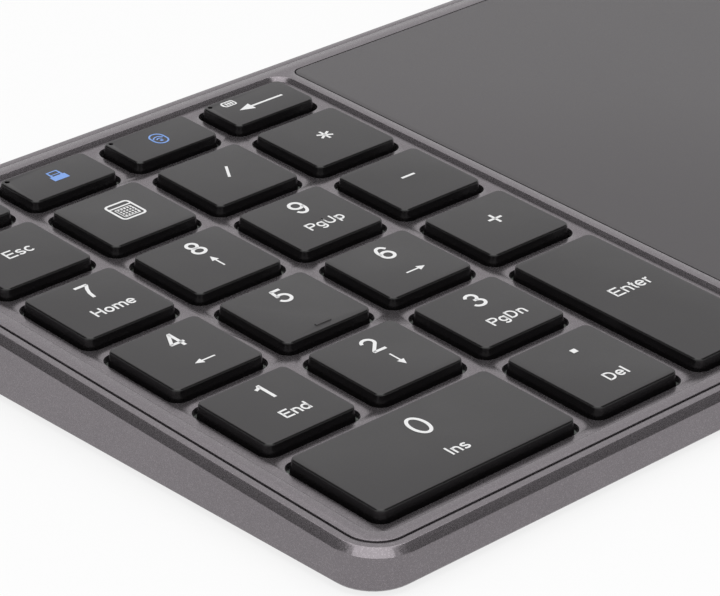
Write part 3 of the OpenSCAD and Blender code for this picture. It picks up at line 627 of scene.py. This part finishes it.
def head(tip, way, length, width):
    """The filled head of an arrow."""
    back = (tip[0] - way[0] * length, tip[1] - way[1] * length)
    side = (-way[1] * width / 2, way[0] * width / 2)
    return [tip, (back[0] + side[0], back[1] + side[1]), (back[0] - side[0], back[1] - side[1])]


def arrow(tail, tip):
    """The shaft and the head of an arrow. The shaft ends a little way inside the head."""
    span = math.dist(tail, tip)
    way = ((tip[0] - tail[0]) / span, (tip[1] - tail[1]) / span)
    bare = ARROW_HEAD - ARROW_OVERLAP
    end = (tip[0] - way[0] * bare, tip[1] - way[1] * bare)
    return ([tail, end], ARROW_SHAFT), head(tip, way, ARROW_HEAD, ARROW_WIDTH)


def star(middle, reach):
    """Three crossed strokes."""
    lines = []
    for angle in STAR_ARMS:
        x, y = reach * math.cos(math.radians(angle)), reach * math.sin(math.radians(angle))
        ends = [(middle[0] - x, middle[1] - y), (middle[0] + x, middle[1] + y)]
        lines.append((ends, STAR_STROKE))
    return lines


def cell_icon():
    """A battery on its side."""
    lines = [(rounded(-3.65, 2.55, 2.1, 1.35, 0.25), 0.24)]
    lines += [([(x, 2.15), (x, 2.95)], 0.32) for x in (-4.1, -3.6, -3.1)]
    return lines, [[(-4.95, 2.2), (-4.7, 2.2), (-4.7, 2.9), (-4.95, 2.9)]]


def calculator_icon():
    """A calculator: its outline, a band for the display and a pad of short dashes."""
    left, base, across, up = -0.4, -0.65, 0.55, 0.58
    dash, rows, columns = 0.32, 4, 5
    lines = [
        (rounded(0.7, 0.72, 4.0, 4.6, 0.6), 0.36),
        ([(-1.2, 1.95), (2.6, 1.95)], 0.3),
        (rounded(0.7, 0.22, 2.75, 2.4, 0.1), 0.14),
    ]
    for row in range(rows):
        y = base + up * row
        for column in range(columns):
            x = left + across * column
            lines.append(([(x, y), (x + dash, y)], 0.34))
    return lines, []


def padlock_icon():
    """A padlock: a filled body and a square shackle with a bar across it."""
    lines = [
        ([(-0.75, 0.3), (-0.75, 1.75), (0.95, 1.75), (0.95, 0.3)], 0.32),
        ([(-0.75, 0.85), (0.95, 0.85)], 0.16),
    ]
    return lines, [[(-1.25, -0.95), (1.4, -0.95), (1.4, 0.4), (-1.25, 0.4)]]


def waves_icon():
    """A dot and two arcs in an oval ring."""
    lines = [(rounded(-0.15, 0.2, 2.3, 3.1, 1.14), 0.26), ([(-0.15, -0.7), (-0.15, -0.25)], 0.45)]
    for reach in (0.62, 1.12):
        lines.append((trace([(-0.15, -0.45, reach, reach * 1.15, 38, 142)]), 0.22))
    return lines, []


ICONS = {
    "cell": cell_icon, "calculator": calculator_icon, "padlock": padlock_icon, "waves": waves_icon
}


def drawn(marks, sizes):
    """The strokes of a legend, as (points, width), and its filled outlines."""
    lines, fills = [], []
    for kind, *rest in marks:
        if kind == "word":
            text, left, base, *height = rest
            cap = height[0] if height else sizes.word
            lines += [(stroke, sizes.fine) for stroke in written(text, left, base, cap)]
        elif kind == "digit":
            figure, base, height = rest
            cap = getattr(sizes, height)
            advance, strokes = GLYPHS[figure]
            left = sizes.shift - advance / 2 * cap
            for stroke in strokes:
                points = [(left + x * cap, base + y * cap) for x, y in trace(stroke)]
                lines.append((points, sizes.stroke))
        elif kind == "line":
            width, *ends = rest
            lines.append((ends, width))
        elif kind == "arrow":
            shaft, tip = arrow(*rest)
            lines.append(shaft)
            fills.append(tip)
        elif kind == "head":
            fills.append(head(*rest))
        elif kind == "star":
            lines += star(*rest)
        else:
            more_lines, more_fills = ICONS[kind]()
            lines += more_lines
            fills += more_fills
    return lines, fills


# A ribbon's section is 1 wide, and is scaled both ways by its stroke's width. So the ink is as
# thick as asked for on a stroke of this width, in millimetres.
USUAL_STROKE = 0.3
# Height of a ribbon's middle over the key top, as a share of the ink's thickness.
INK_LIFT = 0.75


def ink_tree():
    """Ribbons of ink along the edges of a skeleton, as wide as its width attribute says."""
    tree = bpy.data.node_groups.new("ink ribbons", "GeometryNodeTree")
    ports = {}
    for kind, name in (("Geometry", "Skeleton"), ("Float", "Thickness"), ("Material", "Ink")):
        port = tree.interface.new_socket(name, in_out="INPUT", socket_type="NodeSocket" + kind)
        ports[name] = port.identifier
    tree.interface.new_socket("Ribbons", in_out="OUTPUT", socket_type="NodeSocketGeometry")
    given, result = tree.nodes.new("NodeGroupInput"), tree.nodes.new("NodeGroupOutput")
    curve = tree.nodes.new("GeometryNodeMeshToCurve")
    flat = tree.nodes.new("GeometryNodeSetCurveNormal")
    flat.mode = "Z_UP"
    width = tree.nodes.new("GeometryNodeInputNamedAttribute")
    width.data_type = "FLOAT"
    width.inputs["Name"].default_value = "width"
    section = tree.nodes.new("GeometryNodeCurvePrimitiveQuadrilateral")
    section.inputs["Width"].default_value = 1.0
    ribbon = tree.nodes.new("GeometryNodeCurveToMesh")
    ribbon.inputs["Fill Caps"].default_value = True
    whole = tree.nodes.new("GeometryNodeRealizeInstances")
    ink = tree.nodes.new("GeometryNodeSetMaterial")
    link = tree.links.new
    link(given.outputs["Skeleton"], curve.inputs["Mesh"])
    link(curve.outputs[0], flat.inputs["Curve"])
    link(flat.outputs[0], ribbon.inputs["Curve"])
    link(width.outputs["Attribute"], ribbon.inputs["Scale"])
    link(given.outputs["Thickness"], section.inputs["Height"])
    link(section.outputs[0], ribbon.inputs["Profile Curve"])
    link(ribbon.outputs[0], whole.inputs[0])
    link(whole.outputs[0], ink.inputs["Geometry"])
    link(given.outputs["Ink"], ink.inputs["Material"])
    link(ink.outputs[0], result.inputs[0])
    return tree, ports


def skeleton(lines):
    """A mesh of bare edges along the strokes, with the width of each stroke on its points."""
    mesh = bpy.data.meshes.new("skeleton")
    points, ends, widths = [], [], []
    for stroke, wide in lines:
        start = len(points)
        points += [(x, y, 0) for x, y in stroke]
        closed = math.dist(stroke[0], stroke[-1]) < 1e-6
        if closed:
            points.pop()
        count = len(points) - start
        ends += [(start + i, start + i + 1) for i in range(count - 1)]
        if closed:
            ends.append((start + count - 1, start))
        widths += [wide] * count
    mesh.from_pydata(points, ends, [])
    mesh.attributes.new("width", "FLOAT", "POINT").data.foreach_set("value", widths)
    return mesh


def add_plate(bm, outline, thick):
    """Adds a filled outline as a flat plate."""
    pairs = zip(outline, outline[1:] + outline[:1])
    if sum(a[0] * b[1] - b[0] * a[1] for a, b in pairs) < 0:
        outline = outline[::-1]
    low = [bm.verts.new((x, y, 0)) for x, y in outline]
    top = [bm.verts.new((x, y, thick)) for x, y in outline]
    bm.faces.new(top)
    bm.faces.new(low[::-1])
    for i, corner in enumerate(low):
        j = (i + 1) % len(low)
        bm.faces.new((corner, low[j], top[j], top[i]))


def inked(lines, fills, tree, ports, thick, finish):
    """The printed mesh of a legend, in millimetres, lying on z = 0."""
    holder = bpy.data.objects.new("skeleton", skeleton(lines))
    bpy.context.scene.collection.objects.link(holder)
    modifier = holder.modifiers.new("ink", "NODES")
    modifier.node_group = tree
    modifier[ports["Thickness"]] = thick / USUAL_STROKE
    modifier[ports["Ink"]] = look(finish)
    graph = bpy.context.evaluated_depsgraph_get()
    ribbons = bpy.data.meshes.new_from_object(holder.evaluated_get(graph))
    bpy.data.objects.remove(holder)
    bm = bmesh.new()
    bm.from_mesh(ribbons)
    bpy.data.meshes.remove(ribbons)
    for v in bm.verts:
        v.co.z += thick * INK_LIFT
    for outline in fills:
        add_plate(bm, outline, thick)
    return bm


# ---- Operators ----


class KEYPAD_OT_keys(bpy.types.Operator):
    """Makes the keycaps, with rounded edges round their tops."""

    bl_idname = "keypad.keys"
    bl_label = "Keycaps"

    def execute(self, context):
        width = in_mm(context.scene.keypad_edges).key
        top = deck_box("key_7")[1].z
        for node in KEY_NODES:
            bm = merged_copy(node)
            round_edges(bm, level(top, top - KEY_BEVEL), width, 3, least=KEY_BEND)
            new_piece(node.replace("key_", "keycap_"), bm, "key_black", node, [node])
        return {"FINISHED"}


class KEYPAD_OT_case(bpy.types.Operator):
    """Makes the bottom case, the cover and the touch panel, with rounded edges."""

    bl_idname = "keypad.case"
    bl_label = "Case and panel"

    def execute(self, context):
        edges = in_mm(context.scene.keypad_edges)
        self.tray(edges)
        self.cover(edges)
        bm = merged_copy("touch_panel")
        round_edges(bm, level(0), edges.rim, 2)
        new_piece("panel_face", bm, "touch_surface", "case", ["touch_panel"])
        return {"FINISHED"}

    @staticmethod
    def tray(edges):
        """The bottom case: both edges of its chamfer and the inner edge of its strip."""
        side, _, strip = deck_box("bottom_case")[1]
        near = 0.02

        def inside(height, start, end):
            """A test for edges at a height, this far inside the outline."""
            return lambda ends: all(
                abs(p.z - height) < near
                and start < min(side - abs(p.x), HALF_DEPTH - abs(p.y)) < end
                for p in ends
            )

        bm = merged_copy("bottom_case")
        round_edges(bm, inside(strip, -math.inf, CHAMFER_END), edges.chamfer, 3)
        round_edges(bm, inside(strip - CHAMFER_H, -math.inf, WALL_END), edges.chamfer, 3)
        round_edges(bm, inside(strip, STRIP_START, math.inf), edges.rim, 2)
        new_piece("case_tray", bm, "case_paint", "case", ["bottom_case"])

    @staticmethod
    def cover(edges):
        """The cover: the edges of its rim and of the key openings in its well."""
        bm = merged_copy("top_cover")
        well = deck_box("top_cover")[1].z - WELL_DEPTH
        round_edges(bm, level(0), edges.rim, 2)
        round_edges(bm, level(well), edges.opening, 2, least=OPENING_BEND)
        new_piece("case_cover", bm, "case_paint", "case", ["top_cover"])


class KEYPAD_OT_legends(bpy.types.Operator):
    """Prints the figures, words and marks on the keys, one piece for each key."""

    bl_idname = "keypad.legends"
    bl_label = "Legends"

    def execute(self, context):
        sizes = in_mm(context.scene.keypad_print)
        tree, ports = ink_tree()
        top = deck_box("key_7")[1].z
        for node, marks in LEGENDS.items():
            finish = "blue_ink" if node in BLUE_KEYS else "white_ink"
            lines, fills = drawn(marks, sizes)
            bm = inked(lines, fills, tree, ports, sizes.thick, finish)
            low, high = deck_box(node)
            middle = Vector(((low.x + high.x) / 2, (low.y + high.y) / 2, top))
            bm.transform(DECK @ Matrix.Translation(middle))
            new_piece(node.replace("key_", "legend_"), bm, finish, node)
        return {"FINISHED"}


class KEYPAD_OT_springs(bpy.types.Operator):
    """Splits the rows of links and domes by key, one piece for each key, which rides on the case.
    """

    bl_idname = "keypad.springs"
    bl_label = "Links and domes"

    def execute(self, context):
        boxes = {node: deck_box(node) for node in KEY_NODES}
        dome_foot = deck_box("membrane_sheet")[1].z
        for node in SPRING_NODES:
            if node.startswith("scissors"):
                prefix, slot, foot, top = "links_", "scissor_plastic", LOW_PIN, HIGH_PIN
            else:
                prefix, slot, foot, top = "dome_", "dome_rubber", dome_foot, deck_box(node)[1].z
            pieces = 0
            for key, (low, high) in boxes.items():
                bm = merged_copy(node)
                self.keep_inside(bm, low, high)
                if not bm.verts:
                    bm.free()
                    continue
                piece = new_piece(key.replace("key_", prefix), bm, slot, "case", [node])
                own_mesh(piece)
                pieces += 1
            if not pieces:
                raise RuntimeError(f"{node} lies under no key")
        return {"FINISHED"}

    @staticmethod
    def keep_inside(bm, low, high):
        """Deletes the loose parts whose middle isn't under the key."""
        seen, gone = set(), []
        for start in bm.verts:
            if start in seen:
                continue
            seen.add(start)
            part = [start]
            for vert in part:
                for link in vert.link_edges:
                    other = link.other_vert(vert)
                    if other not in seen:
                        seen.add(other)
                        part.append(other)
            points = [FLAT @ v.co for v in part]
            u, v = ((min(p[i] for p in points) + max(p[i] for p in points)) / 2 for i in (0, 1))
            if not (low.x < u < high.x and low.y < v < high.y):
                gone += part
        bmesh.ops.delete(bm, geom=gone, context="VERTS")


class KEYPAD_OT_inside(bpy.types.Operator):
    """Gives the small and the hidden parts their finishes."""

    bl_idname = "keypad.inside"
    bl_label = "Small parts"

    def execute(self, context):
        replaced = {*KEY_NODES, *SPRING_NODES, *FLAT_NODES}
        for row in frame["record"]["subparts"]:
            if row["node"] not in replaced:
                dress(row["node"], row["material_slot"])
        return {"FINISHED"}


def seen_rays(tree):
    """1 for the rays that show a background: from the camera, off gloss and through glass."""
    path = tree.nodes.new("ShaderNodeLightPath")
    total = path.outputs["Is Camera Ray"]
    for name in ("Is Glossy Ray", "Is Transmission Ray"):
        both = tree.nodes.new("ShaderNodeMath")
        both.operation = "MAXIMUM"
        tree.links.new(total, both.inputs[0])
        tree.links.new(path.outputs[name], both.inputs[1])
        total = both.outputs[0]
    return total


def square(name, half, place):
    """A square of the stage, made round Z and moved by a matrix."""
    corners = [(-half, -half, 0), (half, -half, 0), (half, half, 0), (-half, half, 0)]
    mesh = bpy.data.meshes.new(name)
    mesh.from_pydata([place @ Vector(corner) for corner in corners], [], [(0, 1, 2, 3)])
    card = bpy.data.objects.new(name, mesh)
    bpy.context.scene.collection.objects.link(card)
    return card


class KEYPAD_OT_stage(bpy.types.Operator):
    """Makes the floor, the lamp, the cards, the world and the camera."""

    bl_idname = "keypad.stage"
    bl_label = "Studio"

    def execute(self, context):
        scene = context.scene
        self.floor(scene)
        self.world(scene)
        self.lamp("overhead", LAMP_PLACE, LAMP_EDGE, LAMP_GLOW)
        for name, place in CARDS.items():
            self.flag(name, place)
        self.camera(scene)
        scene.view_settings.view_transform = "Standard"
        return {"FINISHED"}

    @staticmethod
    def floor(scene):
        """Pale paper just below the feet. It glows a little for the camera."""
        ground = square("floor", FLOOR_HALF, Matrix.Translation((0, 0, -FLOOR_DROP)))
        material = bpy.data.materials.new("floor paper")
        material.use_nodes = True
        tree = material.node_tree
        shader = tree.nodes["Principled BSDF"]
        shader.inputs["Base Color"].default_value = (*scene.keypad_colours.floor, 1)
        shader.inputs["Roughness"].default_value = 0.9
        glow = tree.nodes.new("ShaderNodeEmission")
        share = tree.nodes.new("ShaderNodeMath")
        share.operation = "MULTIPLY"
        share.inputs[1].default_value = FLOOR_GLOW
        mix = tree.nodes.new("ShaderNodeMixShader")
        tree.links.new(seen_rays(tree), share.inputs[0])
        tree.links.new(share.outputs[0], mix.inputs[0])
        tree.links.new(shader.outputs[0], mix.inputs[1])
        tree.links.new(glow.outputs[0], mix.inputs[2])
        tree.links.new(mix.outputs[0], tree.nodes["Material Output"].inputs["Surface"])
        ground.data.materials.append(material)

    @staticmethod
    def world(scene):
        """Soft light from all sides, with a white background."""
        world = bpy.data.worlds.new("studio")
        scene.world = world
        world.use_nodes = True
        tree = world.node_tree
        soft, white = tree.nodes["Background"], tree.nodes.new("ShaderNodeBackground")
        for background, strength in ((soft, WORLD_LIGHT), (white, 1)):
            background.inputs["Color"].default_value = (1, 1, 1, 1)
            background.inputs["Strength"].default_value = strength
        mix = tree.nodes.new("ShaderNodeMixShader")
        tree.links.new(seen_rays(tree), mix.inputs[0])
        tree.links.new(soft.outputs[0], mix.inputs[1])
        tree.links.new(white.outputs[0], mix.inputs[2])
        tree.links.new(mix.outputs[0], tree.nodes["World Output"].inputs["Surface"])

    @staticmethod
    def lamp(name, place, edge, glow):
        """A square soft box. Its glow is the brightness of its face."""
        data = bpy.data.lights.new(name, "AREA")
        data.shape = "RECTANGLE"
        data.size = data.size_y = edge
        data.energy = glow * math.pi * edge * edge
        box = bpy.data.objects.new(name, data)
        box.location = place
        box.rotation_euler = (-Vector(place)).to_track_quat("-Z", "Y").to_euler()
        bpy.context.scene.collection.objects.link(box)

    @staticmethod
    def flag(name, place):
        """A grey card that only gloss shows, so that slanted edges stand out."""
        turn = (-Vector(place)).to_track_quat("Z", "Y").to_matrix().to_4x4()
        card = square(name, CARD_HALF, Matrix.Translation(place) @ turn)
        card.data.materials.append(plain_look("flag cloth", CARD_GREY, 0.9, 40).material)
        for ray in ("camera", "diffuse", "shadow", "transmission", "volume_scatter"):
            setattr(card, "visible_" + ray, False)

    @staticmethod
    def camera(scene):
        """A long lens from the front left corner."""
        tilt = Matrix.Rotation(WEDGE, 3, "X")
        forward, right = tilt @ Vector(VIEW_FORWARD), tilt @ Vector(VIEW_RIGHT)
        data = bpy.data.cameras.new("camera")
        data.lens, data.sensor_width = VIEW_LENS, VIEW_SENSOR
        data.clip_start = 0.01
        view = bpy.data.objects.new("camera", data)
        turn = Matrix((right, right.cross(forward), -forward)).transposed()
        view.rotation_euler = turn.to_euler()
        view.location = DECK @ Vector(VIEW_PLACE)
        scene.collection.objects.link(view)
        scene.camera = view


class KEYPAD_PT_panel(bpy.types.Panel):
    """Lists the keypad's operators and the sizes and colours that they use."""

    bl_label = "Numeric keypad"
    bl_space_type = "VIEW_3D"
    bl_region_type = "UI"
    bl_category = "Keypad"

    def draw(self, context):
        for name in STEPS:
            self.layout.operator(f"keypad.{name}")
        for group in GROUPS:
            settings = getattr(context.scene, group)
            for name in settings.__annotations__:
                self.layout.prop(settings, name)


STEPS = ("case", "keys", "legends", "springs", "inside", "stage")
GROUPS = {"keypad_edges": KeypadEdges, "keypad_print": KeypadPrint, "keypad_colours": KeypadColours}
CLASSES = (
    *GROUPS.values(),
    KEYPAD_OT_case,
    KEYPAD_OT_keys,
    KEYPAD_OT_legends,
    KEYPAD_OT_springs,
    KEYPAD_OT_inside,
    KEYPAD_OT_stage,
    KEYPAD_PT_panel,
)


def register():
    """Registers the classes and gives the scene its property groups."""
    for cls in CLASSES:
        bpy.utils.register_class(cls)
    for name, group in GROUPS.items():
        setattr(bpy.types.Scene, name, bpy.props.PointerProperty(type=group))


def unregister():
    """Takes back what register did."""
    for name in GROUPS:
        delattr(bpy.types.Scene, name)
    for cls in reversed(CLASSES):
        bpy.utils.unregister_class(cls)


def main():
    """Builds the scene."""
    register()
    for name in STEPS:
        getattr(bpy.ops.keypad, name)()


if __name__ == "__main__":
    main()
